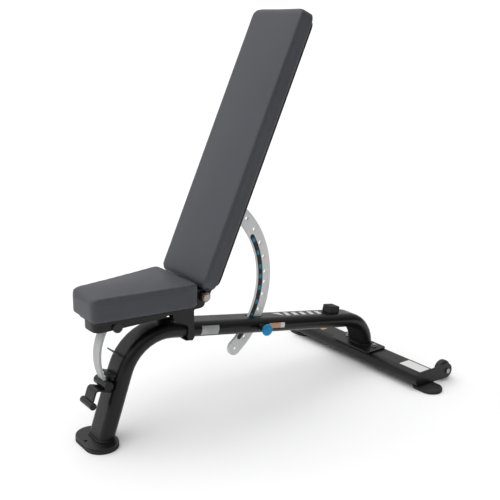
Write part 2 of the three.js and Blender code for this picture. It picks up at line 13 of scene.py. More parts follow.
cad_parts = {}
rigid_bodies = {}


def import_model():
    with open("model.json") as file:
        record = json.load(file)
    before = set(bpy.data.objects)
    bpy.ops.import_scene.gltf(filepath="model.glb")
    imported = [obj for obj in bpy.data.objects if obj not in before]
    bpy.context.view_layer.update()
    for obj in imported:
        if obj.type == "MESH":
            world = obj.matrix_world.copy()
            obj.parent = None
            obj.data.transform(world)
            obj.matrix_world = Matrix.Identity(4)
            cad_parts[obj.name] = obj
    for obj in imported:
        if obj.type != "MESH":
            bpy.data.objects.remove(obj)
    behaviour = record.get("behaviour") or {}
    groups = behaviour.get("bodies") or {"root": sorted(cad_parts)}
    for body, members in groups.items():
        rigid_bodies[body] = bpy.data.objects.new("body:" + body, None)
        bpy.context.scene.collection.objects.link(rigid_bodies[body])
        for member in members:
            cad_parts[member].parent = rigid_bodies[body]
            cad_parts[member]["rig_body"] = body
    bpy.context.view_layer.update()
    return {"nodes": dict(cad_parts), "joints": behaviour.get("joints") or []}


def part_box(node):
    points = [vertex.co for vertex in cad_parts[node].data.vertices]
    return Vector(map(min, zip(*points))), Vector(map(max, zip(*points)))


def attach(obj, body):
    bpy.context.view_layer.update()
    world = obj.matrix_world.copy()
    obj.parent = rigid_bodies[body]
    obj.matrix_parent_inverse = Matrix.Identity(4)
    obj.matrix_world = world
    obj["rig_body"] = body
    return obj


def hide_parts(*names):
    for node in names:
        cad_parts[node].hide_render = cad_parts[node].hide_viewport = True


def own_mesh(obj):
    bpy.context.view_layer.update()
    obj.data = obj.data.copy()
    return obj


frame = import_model()

# ---- The room ----
# A pale studio: a very large matt floor, a white surround that is brightest behind and above the bench,
# and one very wide soft light from above, a little towards the seat, so that the shadows stay blurred.
scene = bpy.context.scene
scene.view_settings.view_transform = "Standard"

floor_mesh = bpy.data.meshes.new("studio_floor")
FLOOR_HALF = 60.0
floor_corners = [(x * FLOOR_HALF, y * FLOOR_HALF, 0) for x, y in ((-1, -1), (1, -1), (1, 1), (-1, 1))]
floor_mesh.from_pydata(floor_corners, [], [(0, 1, 2, 3)])
floor = bpy.data.objects.new("studio_floor", floor_mesh)
scene.collection.objects.link(floor)


def new_material(name):
    """A new material and its Principled shader."""
    material = bpy.data.materials.new(name)
    material.use_nodes = True
    return material, material.node_tree.nodes["Principled BSDF"]


floor_paint, shader = new_material("studio_floor_paint")
shader.inputs["Base Color"].default_value = (0.93, 0.93, 0.93, 1)
shader.inputs["Roughness"].default_value = 0.9
shader.inputs["Specular IOR Level"].default_value = 0.1
floor_mesh.materials.append(floor_paint)

world = bpy.data.worlds.new("studio_surround")
scene.world = world
world.use_nodes = True
tree = world.node_tree
surround = tree.nodes["Background"]
surround.inputs["Color"].default_value = (1, 1, 1, 1)
direction = tree.nodes.new("ShaderNodeTexCoord")
towards_screen = tree.nodes.new("ShaderNodeVectorMath")
towards_screen.operation = "DOT_PRODUCT"
towards_screen.inputs[1].default_value = Vector((-0.34, 0.5, 0.8)).normalized()
tree.links.new(direction.outputs["Generated"], towards_screen.inputs[0])
brightness = tree.nodes.new("ShaderNodeMapRange")
brightness.inputs["From Min"].default_value = -0.45
brightness.inputs["From Max"].default_value = 0.8
brightness.inputs["To Min"].default_value = 0.05
brightness.inputs["To Max"].default_value = 1.0
tree.links.new(towards_screen.outputs["Value"], brightness.inputs["Value"])
tree.links.new(brightness.outputs["Result"], surround.inputs["Strength"])
backdrop = tree.nodes.new("ShaderNodeBackground")
backdrop.inputs["Color"].default_value = (1, 1, 1, 1)
backdrop.inputs["Strength"].default_value = 1.1
seen = tree.nodes.new("ShaderNodeLightPath")
choose = tree.nodes.new("ShaderNodeMixShader")
tree.links.new(seen.outputs["Is Camera Ray"], choose.inputs[0])
tree.links.new(surround.outputs[0], choose.inputs[1])
tree.links.new(backdrop.outputs[0], choose.inputs[2])
tree.links.new(choose.outputs[0], tree.nodes["World Output"].inputs["Surface"])


def soft_sun(name, towards, spread, strength):
    """A wide, even light from one direction, whose shadows are as soft as its spread."""
    light = bpy.data.lights.new(name, "SUN")
    light.angle = math.radians(spread)
    light.energy = strength
    lamp = bpy.data.objects.new(name, light)
    lamp.rotation_euler = Vector(towards).to_track_quat("Z", "Y").to_euler()
    scene.collection.objects.link(lamp)


soft_sun("overhead_light", (-0.3, 0.12, 1.0), 75, 1.3)

camera_data = bpy.data.cameras.new("camera")
camera_data.lens = 59.04
camera_data.sensor_width = 36
camera = bpy.data.objects.new("camera", camera_data)
camera.location = (-1.5697, -2.0992, 1.2418)
camera.rotation_euler = (math.radians(74.46), 0, math.radians(-36.51))
scene.collection.objects.link(camera)
scene.camera = camera

# ---- Frame tubes ----
# The front leg and main beam are one 2 x 4 inch flat-oval steel section, bent, and the beam stands on a
# straight crossbar of the same tube. All steel is welded, then powder coated satin black.


def group(name, inputs, outputs):
    """An empty node group; inputs map a socket's name to its default, and outputs to its type."""
    made = bpy.data.node_groups.new(name, "ShaderNodeTree")
    for label, default in inputs.items():
        kind = "NodeSocketColor" if isinstance(default, tuple) else "NodeSocketFloat"
        made.interface.new_socket(label, in_out="INPUT", socket_type=kind).default_value = default
    for label, kind in outputs.items():
        made.interface.new_socket(label, in_out="OUTPUT", socket_type=kind)
    return made, made.nodes.new("NodeGroupInput"), made.nodes.new("NodeGroupOutput")


def place_texture(tree, kind, scale, **settings):
    """A texture node that follows the piece, with its scale."""
    coordinates = tree.nodes.new("ShaderNodeTexCoord")
    texture = tree.nodes.new(kind)
    for key, value in settings.items():
        if key in texture.inputs:
            texture.inputs[key].default_value = value
        else:
            setattr(texture, key, value)
    if isinstance(scale, (int, float)):
        texture.inputs["Scale"].default_value = scale
    else:
        tree.links.new(scale, texture.inputs["Scale"])
    tree.links.new(coordinates.outputs["Object"], texture.inputs["Vector"])
    return texture


def span(tree, source, low, high, to_low=0.0, to_high=1.0):
    """The source value, stretched from one range to another."""
    node = tree.nodes.new("ShaderNodeMapRange")
    for key, value in (("From Min", low), ("From Max", high), ("To Min", to_low), ("To Max", to_high)):
        if isinstance(value, (int, float)):
            node.inputs[key].default_value = value
        else:
            tree.links.new(value, node.inputs[key])
    tree.links.new(source, node.inputs["Value"])
    return node.outputs["Result"]


def blend_colours(tree, mask, first, second):
    """The first colour where the mask is 0 and the second where it is 1."""
    node = tree.nodes.new("ShaderNodeMix")
    node.data_type = "RGBA"
    tree.links.new(mask, node.inputs["Factor"])
    for socket, value in ((node.inputs["A"], first), (node.inputs["B"], second)):
        if isinstance(value, tuple):
            socket.default_value = value
        else:
            tree.links.new(value, socket)
    return node.outputs["Result"]


def arithmetic(tree, operation, first, second):
    """One Math node on two values."""
    node = tree.nodes.new("ShaderNodeMath")
    node.operation = operation
    for socket, value in zip(node.inputs, (first, second)):
        if isinstance(value, (int, float)):
            socket.default_value = value
        else:
            tree.links.new(value, socket)
    return node.outputs[0]


# Edge tint: a mask where the surface turns sharply, broken up by noise. On the black powder coat it paints
# the edges lighter, a painted highlight; on the silver coats it makes the edges darker.
edge_tint, edge_tint_in, edge_tint_out = group(
    "edge_tint", {"Radius": 0.002, "Amount": 0.5}, {"Mask": "NodeSocketFloat"}
)
rounded = edge_tint.nodes.new("ShaderNodeBevel")
rounded.samples = 4
edge_tint.links.new(edge_tint_in.outputs["Radius"], rounded.inputs["Radius"])
facing = edge_tint.nodes.new("ShaderNodeNewGeometry")
likeness = edge_tint.nodes.new("ShaderNodeVectorMath")
likeness.operation = "DOT_PRODUCT"
edge_tint.links.new(rounded.outputs["Normal"], likeness.inputs[0])
edge_tint.links.new(facing.outputs["Normal"], likeness.inputs[1])
edge = span(edge_tint, likeness.outputs["Value"], 1.0, 0.86)
broken = place_texture(edge_tint, "ShaderNodeTexNoise", 140.0, Detail=5.0)
patchy = span(edge_tint, broken.outputs["Fac"], 0.42, 0.66)
broken_edge = arithmetic(edge_tint, "MULTIPLY", edge, patchy)
edge_tint_mask = arithmetic(edge_tint, "MULTIPLY", broken_edge, edge_tint_in.outputs["Amount"])
edge_tint.links.new(edge_tint_mask, edge_tint_out.inputs["Mask"])

# Mottle: a colour that drifts between two shades, with a finer fleck, and the height of the fleck.
mottle, mottle_in, mottle_out = group(
    "mottle",
    {
        "Shade": (0.1, 0.1, 0.1, 1),
        "Other shade": (0.2, 0.2, 0.2, 1),
        "Drift scale": 6.0,
        "Fleck scale": 900.0,
    },
    {"Color": "NodeSocketColor", "Drift": "NodeSocketFloat", "Height": "NodeSocketFloat"},
)
drift = place_texture(mottle, "ShaderNodeTexNoise", mottle_in.outputs["Drift scale"], Detail=4.0)
fleck = place_texture(mottle, "ShaderNodeTexNoise", mottle_in.outputs["Fleck scale"], Detail=2.0)
both = arithmetic(
    mottle,
    "ADD",
    span(mottle, drift.outputs["Fac"], 0.35, 0.65, 0.0, 0.7),
    span(mottle, fleck.outputs["Fac"], 0.35, 0.65, 0.0, 0.3),
)
mottle.links.new(
    blend_colours(mottle, both, mottle_in.outputs["Shade"], mottle_in.outputs["Other shade"]),
    mottle_out.inputs["Color"],
)
mottle.links.new(drift.outputs["Fac"], mottle_out.inputs["Drift"])
mottle.links.new(fleck.outputs["Fac"], mottle_out.inputs["Height"])


def finish_of(name, shade, other_shade, rough, drift_scale=6.0, fleck_scale=900.0, fleck_depth=0.00004,
              metal=0.0, edge_tint_amount=0.0, edge_tint_colour=(0.2, 0.2, 0.2, 1)):
    """A hard finish: mottled colour, drifting roughness, a fine fleck, and sharp edges tinted towards a
    second colour, which is a painted highlight where that colour is lighter.
    """
    material, shader = new_material(name)
    tree = material.node_tree
    blotch = tree.nodes.new("ShaderNodeGroup")
    blotch.node_tree = mottle
    blotch.inputs["Shade"].default_value = shade
    blotch.inputs["Other shade"].default_value = other_shade
    blotch.inputs["Drift scale"].default_value = drift_scale
    blotch.inputs["Fleck scale"].default_value = fleck_scale
    colour = blotch.outputs["Color"]
    if edge_tint_amount:
        edge_tinting = tree.nodes.new("ShaderNodeGroup")
        edge_tinting.node_tree = edge_tint
        edge_tinting.inputs["Amount"].default_value = edge_tint_amount
        colour = blend_colours(tree, edge_tinting.outputs["Mask"], colour, edge_tint_colour)
    tree.links.new(colour, shader.inputs["Base Color"])
    tree.links.new(span(tree, blotch.outputs["Drift"], 0.3, 0.7, *rough), shader.inputs["Roughness"])
    bump = tree.nodes.new("ShaderNodeBump")
    bump.inputs["Distance"].default_value = fleck_depth
    tree.links.new(blotch.outputs["Height"], bump.inputs["Height"])
    tree.links.new(bump.outputs["Normal"], shader.inputs["Normal"])
    shader.inputs["Metallic"].default_value = metal
    shader.inputs["Specular IOR Level"].default_value = 0.28
    return material


# The black coat's sharp edges are tinted much lighter: a painted highlight along the edges.
powder_coat = finish_of(
    "powder_coat", (0.0035, 0.0035, 0.0036, 1), (0.008, 0.0078, 0.0076, 1), (0.26, 0.38),
    edge_tint_amount=0.25, edge_tint_colour=(0.09, 0.088, 0.085, 1),
)


def body_of(node):
    return frame["nodes"][node]["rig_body"]


def new_piece(name, mesh, material, body):
    """A finished piece: named, painted and riding on its body."""
    mesh.materials.clear()
    mesh.materials.append(material)
    piece = bpy.data.objects.new(name, mesh)
    scene.collection.objects.link(piece)
    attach(piece, body)
    return piece


def smooth_by_area(piece):
    """Smooth shading in which the large flats stay flat."""
    piece.data.polygons.foreach_set("use_smooth", [True] * len(piece.data.polygons))
    weighted = piece.modifiers.new("even_flats", "WEIGHTED_NORMAL")
    weighted.weight = 80


def dress(node, material, edge=0.0009, turn=32):
    """The node's own solid with its sharp edges broken by a small round, as on the real piece."""
    form = bmesh.new()
    form.from_mesh(frame["nodes"][node].data)
    bmesh.ops.remove_doubles(form, verts=form.verts, dist=2e-6)
    bmesh.ops.dissolve_limit(form, angle_limit=math.radians(0.6), verts=form.verts, edges=form.edges)
    sharp = [
        line
        for line in form.edges
        if len(line.link_faces) == 2 and line.calc_face_angle(0.0) > math.radians(turn)
    ]
    bmesh.ops.bevel(
        form, geom=sharp, offset=edge, offset_type="OFFSET", segments=2, profile=0.6,
        affect="EDGES", clamp_overlap=True,
    )
    mesh = bpy.data.meshes.new(node)
    form.to_mesh(mesh)
    form.free()
    piece = new_piece(node + "_finished", mesh, material, body_of(node))
    smooth_by_area(piece)
    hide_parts(node)


for node in ("front_leg_tube", "main_beam_tube", "crossbar_tube"):
    dress(node, powder_coat, edge=0.0008, turn=40)

# ---- Saddle plate and crossbar ends ----
# A folded plate with two hex bolts clamps the beam's foot to the crossbar, and end plates close the
# crossbar and reach back as wheel brackets.
dress("rear_saddle_plate", powder_coat, edge=0.0016)
zinc_plate = finish_of(
    "zinc_plate", (0.3, 0.29, 0.28, 1), (0.42, 0.41, 0.4, 1), (0.3, 0.46),
    drift_scale=40.0, fleck_scale=1500.0, fleck_depth=0.00002, metal=1.0,
)
for side in ("near", "far"):
    dress("end_bracket_" + side, powder_coat, edge=0.0014)
    dress("saddle_bolt_" + side, zinc_plate, edge=0.0007)
    dress("wheel_bolt_" + side, zinc_plate, edge=0.0006)


def swept_bead(name, points, radius, material, body, ripple=0.0):
    """A round bead along a closed line; the ripple makes it swell and shrink as a weld does."""
    form = bmesh.new()
    count = len(points)
    sides = 8
    rings = []
    for i, point in enumerate(points):
        along = (points[(i + 1) % count] - points[i - 1]).normalized()
        side = side - along * side.dot(along) if rings else along.orthogonal()
        side.normalize()
        other = along.cross(side)
        girth = radius * (1 + ripple * math.sin(i * 2.1))
        ring = []
        for k in range(sides):
            angle = 2 * math.pi * k / sides
            outward = side * math.cos(angle) + other * math.sin(angle)
            ring.append(form.verts.new(point + girth * outward))
        rings.append(ring)
    for i in range(count):
        near, far = rings[i], rings[(i + 1) % count]
        shift = 0
        if i == count - 1:
            shift = min(range(sides), key=lambda s: (near[0].co - far[s].co).length)
        far = far[shift:] + far[:shift]
        for k in range(sides):
            after = (k + 1) % sides
            form.faces.new((near[k], near[after], far[after], far[k]))
    bmesh.ops.recalc_face_normals(form, faces=form.faces)
    mesh = bpy.data.meshes.new(name)
    form.to_mesh(mesh)
    form.free()
    mesh.polygons.foreach_set("use_smooth", [True] * len(mesh.polygons))
    return new_piece(name, mesh, material, body)


def flat_oval(centre, along, across, half_straight, radius, steps=18):
    """Points round a flat oval whose straight sides run along the second direction."""
    points = []
    for sign in (1, -1):
        for k in range(steps + 1):
            angle = math.pi * k / steps - math.pi / 2
            points.append(
                centre
                + across * sign * (half_straight + radius * math.cos(angle))
                + along * sign * radius * math.sin(angle)
            )
    return points


TUBE_HALF_STRAIGHT = 0.0254
TUBE_RADIUS = 0.0254
WELD_LIFT = 0.0012
saddle_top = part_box("rear_saddle_plate")[1].z
beam_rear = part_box("main_beam_tube")[1].x
beam_foot = Vector((beam_rear - TUBE_RADIUS, 0, saddle_top + WELD_LIFT))
swept_bead(
    "beam_foot_weld",
    flat_oval(beam_foot, Vector((1, 0, 0)), Vector((0, 1, 0)), TUBE_HALF_STRAIGHT, TUBE_RADIUS + 0.001),
    0.0026, powder_coat, "frame", ripple=0.08,
)

# ---- Rear rollers ----
# Moulded nylon rollers on the brackets' bolts: a rounded tread, a recessed web on each face and a raised
# boss round the bolt.
roller_nylon = finish_of(
    "roller_nylon", (0.018, 0.018, 0.019, 1), (0.035, 0.035, 0.036, 1), (0.45, 0.62), fleck_scale=1200.0,
)


def turned_form(name, profile, centre):
    """A solid turned about a line across the bench, from (radius, distance along it) pairs."""
    form = bmesh.new()
    sides = 64
    turns = [2 * math.pi * k / sides for k in range(sides)]
    rings = []
    for radius, distance in profile:
        if radius < 1e-6:
            rings.append([form.verts.new((0, distance, 0))])
            continue
        ring = [(radius * math.cos(turn), distance, radius * math.sin(turn)) for turn in turns]
        rings.append([form.verts.new(corner) for corner in ring])
    closed = profile[0][0] > 1e-6
    for i in range(len(rings) if closed else len(rings) - 1):
        one, two = rings[i], rings[(i + 1) % len(rings)]
        for k in range(sides):
            after = k + 1
            corners = (one[k % len(one)], one[after % len(one)], two[after % len(two)], two[k % len(two)])
            form.faces.new(list(dict.fromkeys(corners)))
    bmesh.ops.recalc_face_normals(form, faces=form.faces)
    mesh = bpy.data.meshes.new(name)
    form.to_mesh(mesh)
    form.free()
    mesh.transform(Matrix.Translation(centre))
    return mesh


def with_rounded_turns(profile, radius):
    """The profile with each corner replaced by a short arc."""
    steps = 3
    result = []
    count = len(profile)
    for i in range(count):
        corner = Vector(profile[i])
        before, after = Vector(profile[i - 1]), Vector(profile[(i + 1) % count])
        if corner.x < 1e-6 or (before - corner).length < 1e-7 or (after - corner).length < 1e-7:
            result.append(tuple(corner))
            continue
        reach = min(radius, (before - corner).length * 0.45, (after - corner).length * 0.45)
        first = corner + (before - corner).normalized() * reach
        last = corner + (after - corner).normalized() * reach
        for k in range(steps + 1):
            t = k / steps
            result.append(tuple(first * (1 - t) ** 2 + corner * 2 * t * (1 - t) + last * t * t))
    return result


for side in ("near", "far"):
    low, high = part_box("wheel_" + side)
    centre = (low + high) / 2
    rim = (high.x - low.x) / 2
    half = (high.y - low.y) / 2
    profile = [
        (0.0054, -half), (0.011, -half), (0.012, 0.003 - half), (0.024, 0.003 - half), (0.0255, -half),
        (rim - 0.004, -half), (rim, 0.004 - half), (rim, half - 0.004), (rim - 0.004, half),
        (0.0255, half), (0.024, half - 0.003), (0.012, half - 0.003), (0.011, half), (0.0054, half),
    ]
    mesh = turned_form("roller_" + side, with_rounded_turns(profile, 0.0016), centre)
    piece = new_piece("roller_" + side, mesh, roller_nylon, "wheel_" + side)
    smooth_by_area(piece)
    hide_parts("wheel_" + side)

# ---- Feet ----
# Moulded rubber: an oval pad under each crossbar end and a larger one under the front foot plate, whose
# steel plate is welded round the front leg.
foot_rubber = finish_of(
    "foot_rubber", (0.012, 0.012, 0.012, 1), (0.03, 0.03, 0.03, 1), (0.6, 0.8),
    drift_scale=18.0, fleck_scale=700.0, fleck_depth=0.0001,
)
for node in ("rear_foot_near", "rear_foot_far", "front_foot_pad"):
    dress(node, foot_rubber, edge=0.0022)
dress("front_foot_plate", powder_coat, edge=0.0014)
LEG_LEAN = math.radians(20)
plate_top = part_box("front_foot_plate")[1].z
leg_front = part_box("front_leg_tube")[0].x
leg_foot = Vector((leg_front + TUBE_RADIUS / math.cos(LEG_LEAN), 0, plate_top + WELD_LIFT))
leg_line = flat_oval(leg_foot, Vector((1, 0, 0)), Vector((0, 1, 0)), TUBE_HALF_STRAIGHT, TUBE_RADIUS + 0.001)
for point in leg_line:
    point.x = leg_foot.x + (point.x - leg_foot.x) / math.cos(LEG_LEAN)
swept_bead("front_leg_weld", leg_line, 0.0028, powder_coat, "frame", ripple=0.08)

# ---- Seat ladder and carrying handle ----
# Three shelves and a stop rod welded to the front of the leg hold the strut's cross bar at three heights,
# and the lowest shelf bends down to a round handle for rolling the bench away.
for node in ("handle_plate", "ladder_mid_shelf", "ladder_top_shelf"):
    dress(node, powder_coat, edge=0.0008)
for node in ("handle_bar", "ladder_stop_rod"):
    dress(node, powder_coat, edge=0.0014)

# ---- Upright ----
# Two laser-cut side plates grip the beam and carry the cross axle, tied by a strap under the beam.
for side in ("near", "far"):
    dress("upright_plate_" + side, powder_coat, edge=0.001)
dress("upright_strap", powder_coat, edge=0.0016)

# ---- Cross axle, hubs and bushes ----
# A zinc-plated axle runs through bronze bushes in the back's two hubs and the seat's hub, with a domed
# cap screwed on each end.
sintered_bronze = finish_of(
    "sintered_bronze", (0.36, 0.19, 0.09, 1), (0.52, 0.3, 0.15, 1), (0.34, 0.5),
    drift_scale=60.0, fleck_scale=2500.0, metal=1.0,
)
dress("pivot_axle", zinc_plate, edge=0.0006)
dress("seat_bush", sintered_bronze, edge=0.0004)
dress("seat_hub", powder_coat, edge=0.0008)
for side in ("near", "far"):
    dress("axle_cap_" + side, zinc_plate, edge=0.0007)
    dress("back_hub_" + side, powder_coat, edge=0.0008)
    dress("back_bush_" + side, sintered_bronze, edge=0.0005)

# ---- Pull pin ----
# A spring-loaded steel pin in a threaded barrel on the beam's side locks the arc plate; its knob is a
# domed moulding with a gripping groove behind the rim.
knob_plastic = finish_of(
    "knob_plastic", (0.003, 0.21, 0.44, 1), (0.005, 0.27, 0.54, 1), (0.3, 0.42),
    drift_scale=30.0, fleck_scale=1600.0, fleck_depth=0.00003,
)
dress("pop_pin_barrel", powder_coat, edge=0.0006)
dress("pop_pin", zinc_plate, edge=0.0004)
frame["nodes"]["pop_pin_spring"].data.materials.clear()
frame["nodes"]["pop_pin_spring"].data.materials.append(zinc_plate)
low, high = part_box("pop_pin_knob")
centre = Vector(((low.x + high.x) / 2, low.y, (low.z + high.z) / 2))
knob_rim = (high.x - low.x) / 2
knob_depth = high.y - low.y
knob_profile = [
    (0.0, 0.0), (0.007, 0.0004), (0.0125, 0.0014), (0.0165, 0.003), (knob_rim - 0.0012, 0.0055),
    (knob_rim, 0.008), (knob_rim, 0.0125), (knob_rim - 0.0014, 0.0145), (0.0155, 0.0165),
    (0.011, 0.0185), (0.0095, knob_depth - 0.001), (0.0088, knob_depth), (0.0, knob_depth),
]
mesh = turned_form("pull_knob", knob_profile, centre)
pull_knob = new_piece("pull_knob", mesh, knob_plastic, "pop_pin")
rounder = pull_knob.modifiers.new("round", "SUBSURF")
rounder.levels = rounder.render_levels = 1
mesh.polygons.foreach_set("use_smooth", [True] * len(mesh.polygons))
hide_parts("pop_pin_knob")

# ---- Bumper ----
# A moulded rubber block screwed to the beam, which the back rests on at full decline.
dress("bumper_block", foot_rubber, edge=0.003)

# ---- Back board, spine and arms ----
# The back's plywood board is sprayed black and bolted through two cross brackets to a square steel spine,
# which is welded between the hub arms.
board_paint = finish_of(
    "board_paint", (0.013, 0.013, 0.013, 1), (0.03, 0.029, 0.028, 1), (0.55, 0.8),
    drift_scale=25.0, fleck_scale=350.0, fleck_depth=0.00018,
)
dress("back_board", board_paint, edge=0.0012)
for node in ("back_spine", "back_bracket_lower", "back_bracket_upper", "back_arm_near", "back_arm_far"):
    dress(node, powder_coat, edge=0.0011)
for level in ("lower", "upper"):
    for side in ("near", "far"):
        dress(f"back_bolt_{level}_{side}", zinc_plate, edge=0.0005)

# ---- Arc plate and its scale ----
# A laser-cut arc in silver powder coat, drilled for the pull pin, with a black printed scale and a teal
# tick beside each hole.
silver_coat = finish_of(
    "silver_coat", (0.64, 0.645, 0.65, 1), (0.74, 0.745, 0.75, 1), (0.36, 0.48),
    drift_scale=12.0, fleck_scale=1100.0, edge_tint_amount=0.3, edge_tint_colour=(0.3, 0.3, 0.3, 1),
)
scale_ink = finish_of("scale_ink", (0.012, 0.012, 0.013, 1), (0.02, 0.02, 0.021, 1), (0.4, 0.55))
tick_ink = finish_of("tick_ink", (0.01, 0.17, 0.24, 1), (0.015, 0.23, 0.31, 1), (0.4, 0.55))
dress("arc_plate", silver_coat, edge=0.0008)
joints = {joint["name"]: joint for joint in frame["joints"]}
pivot = Vector(joints["back_recline"]["pos_m"])
arc_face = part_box("arc_plate")[0].y


def around_pivot(degrees, radius, y):
    """A point at an angle above level and a distance from the axle."""
    angle = math.radians(degrees)
    return Vector((pivot.x + radius * math.cos(angle), y, pivot.z + radius * math.sin(angle)))


def arc_strip(name, first, last, inner, outer, y, thick, material, steps):
    """A thin print on the arc plate's near face, between two angles and two radii, with round ends."""
    half = (outer - inner) / 2
    middle = (outer + inner) / 2
    end_angle = math.degrees(half / middle)
    outline = []
    for k in range(steps + 1):
        outline.append(around_pivot(first + (last - first) * k / steps, outer, y))
    for k in range(1, 8):
        turn = math.pi * k / 8
        outline.append(around_pivot(last + end_angle * math.sin(turn), middle + half * math.cos(turn), y))
    for k in range(steps + 1):
        outline.append(around_pivot(last + (first - last) * k / steps, inner, y))
    for k in range(1, 8):
        turn = math.pi * k / 8
        outline.append(around_pivot(first - end_angle * math.sin(turn), middle - half * math.cos(turn), y))
    printed_sheet(name, outline, Vector((0, -thick, 0)), material, "back")


def printed_sheet(name, outline, lift, material, body):
    """A thin sheet with the given flat outline, raised by lift."""
    form = bmesh.new()
    under = [form.verts.new(p) for p in outline]
    over = [form.verts.new(p + lift) for p in outline]
    form.faces.new(under)
    form.faces.new(over[::-1])
    for k in range(len(outline)):
        following = (k + 1) % len(outline)
        form.faces.new((under[k], over[k], over[following], under[following]))
    bmesh.ops.recalc_face_normals(form, faces=form.faces)
    mesh = bpy.data.meshes.new(name)
    form.to_mesh(mesh)
    form.free()
    new_piece(name, mesh, material, body)


HOLE_ANGLES = (21.3, 11.3, 0.9, -6, -14.1, -24.2, -34.2, -44.3)
TICK_AHEAD = 4.4
INK_THICK = 0.00025
arc_strip("arc_scale", -47.0, 28.5, 0.2722, 0.2895, arc_face, INK_THICK, scale_ink, 60)
for number, angle in enumerate(HOLE_ANGLES):
    at = angle + TICK_AHEAD
    on_scale = arc_face - INK_THICK
    arc_strip(f"arc_tick_{number}", at - 0.6, at + 0.6, 0.2755, 0.2862, on_scale, 0.0002, tick_ink, 2)

# ---- Seat frame, board and strut ----
# The seat's folded steel tray hangs from the hub on two arms under a black plywood board; a curved flat
# strut pinned in its nose stands on the ladder with a round cross bar.
dress("seat_board", board_paint, edge=0.0012)
dress("seat_frame_tube", powder_coat, edge=0.0022)
for side in ("near", "far"):
    dress("seat_arm_" + side, powder_coat, edge=0.001)
pin_plastic = finish_of("pin_plastic", (0.016, 0.016, 0.017, 1), (0.03, 0.03, 0.031, 1), (0.4, 0.55))
dress("strut_pin", pin_plastic, edge=0.0018)
strut_coat = finish_of(
    "strut_coat", (0.36, 0.365, 0.37, 1), (0.44, 0.445, 0.45, 1), (0.36, 0.48),
    drift_scale=12.0, fleck_scale=1100.0, metal=0.2, edge_tint_amount=0.3, edge_tint_colour=(0.25, 0.25, 0.25, 1),
)
dress("strut_bar", strut_coat, edge=0.0009)
dress("t_bar", powder_coat, edge=0.002)

# ---- Pads ----
# Foam on the boards, wrapped in grained grey vinyl: crowned by its own tension, tight over the edges, with
# a sewn seam between the top panel and the side wall. Each starts from its solid, a little smaller, and is
# inflated as cloth.
vinyl, shader = new_material("pad_vinyl")
tree = vinyl.node_tree
blotch = tree.nodes.new("ShaderNodeGroup")
blotch.node_tree = mottle
blotch.inputs["Shade"].default_value = (0.0455, 0.047, 0.0575, 1)
blotch.inputs["Other shade"].default_value = (0.0565, 0.058, 0.0695, 1)
blotch.inputs["Drift scale"].default_value = 4.0
blotch.inputs["Fleck scale"].default_value = 260.0
pebbles = place_texture(tree, "ShaderNodeTexVoronoi", 620.0, feature="DISTANCE_TO_EDGE", Randomness=1.0)
creases = span(tree, pebbles.outputs["Distance"], 0.0, 0.12)
# The grain's creases are painted darker in the base colour: painted shade in the creases.
crease_painted_shade = tree.nodes.new("ShaderNodeHueSaturation")
tree.links.new(blotch.outputs["Color"], crease_painted_shade.inputs["Color"])
tree.links.new(span(tree, creases, 0.0, 1.0, 0.82, 1.0), crease_painted_shade.inputs["Value"])
tree.links.new(crease_painted_shade.outputs["Color"], shader.inputs["Base Color"])
tree.links.new(span(tree, blotch.outputs["Drift"], 0.3, 0.7, 0.4, 0.5), shader.inputs["Roughness"])
grain = tree.nodes.new("ShaderNodeBump")
grain.inputs["Distance"].default_value = 0.00018
grain.inputs["Strength"].default_value = 0.7
fine_fleck = arithmetic(tree, "MULTIPLY", blotch.outputs["Height"], 0.6)
tree.links.new(arithmetic(tree, "ADD", creases, fine_fleck), grain.inputs["Height"])
tree.links.new(grain.outputs["Normal"], shader.inputs["Normal"])
shader.inputs["Specular IOR Level"].default_value = 0.38
thread = finish_of(
    "seam_thread", (0.07, 0.072, 0.08, 1), (0.12, 0.123, 0.135, 1), (0.6, 0.8), fleck_scale=3000.0
)


def evaluated_mesh(piece):
    """The piece's mesh with its modifiers worked out."""
    shown = piece.evaluated_get(bpy.context.evaluated_depsgraph_get())
    return bpy.data.meshes.new_from_object(shown)


def even_swell(mesh, moves, stapled, rounds=70):
    """The swelling spread evenly over the cover, as taut vinyl does, and none where it is stapled."""
    ends = np.array([edge.vertices[:] for edge in mesh.edges])
    neighbours = np.bincount(ends.ravel(), minlength=len(moves))[:, None]
    for _ in range(rounds):
        total = np.zeros_like(moves)
        np.add.at(total, ends[:, 0], moves[ends[:, 1]])
        np.add.at(total, ends[:, 1], moves[ends[:, 0]])
        moves = 0.4 * moves + 0.6 * total / neighbours
        moves[stapled] = 0
    return moves


VOXEL = 0.005
INSET = 0.0015
STAPLE_BAND = 0.004


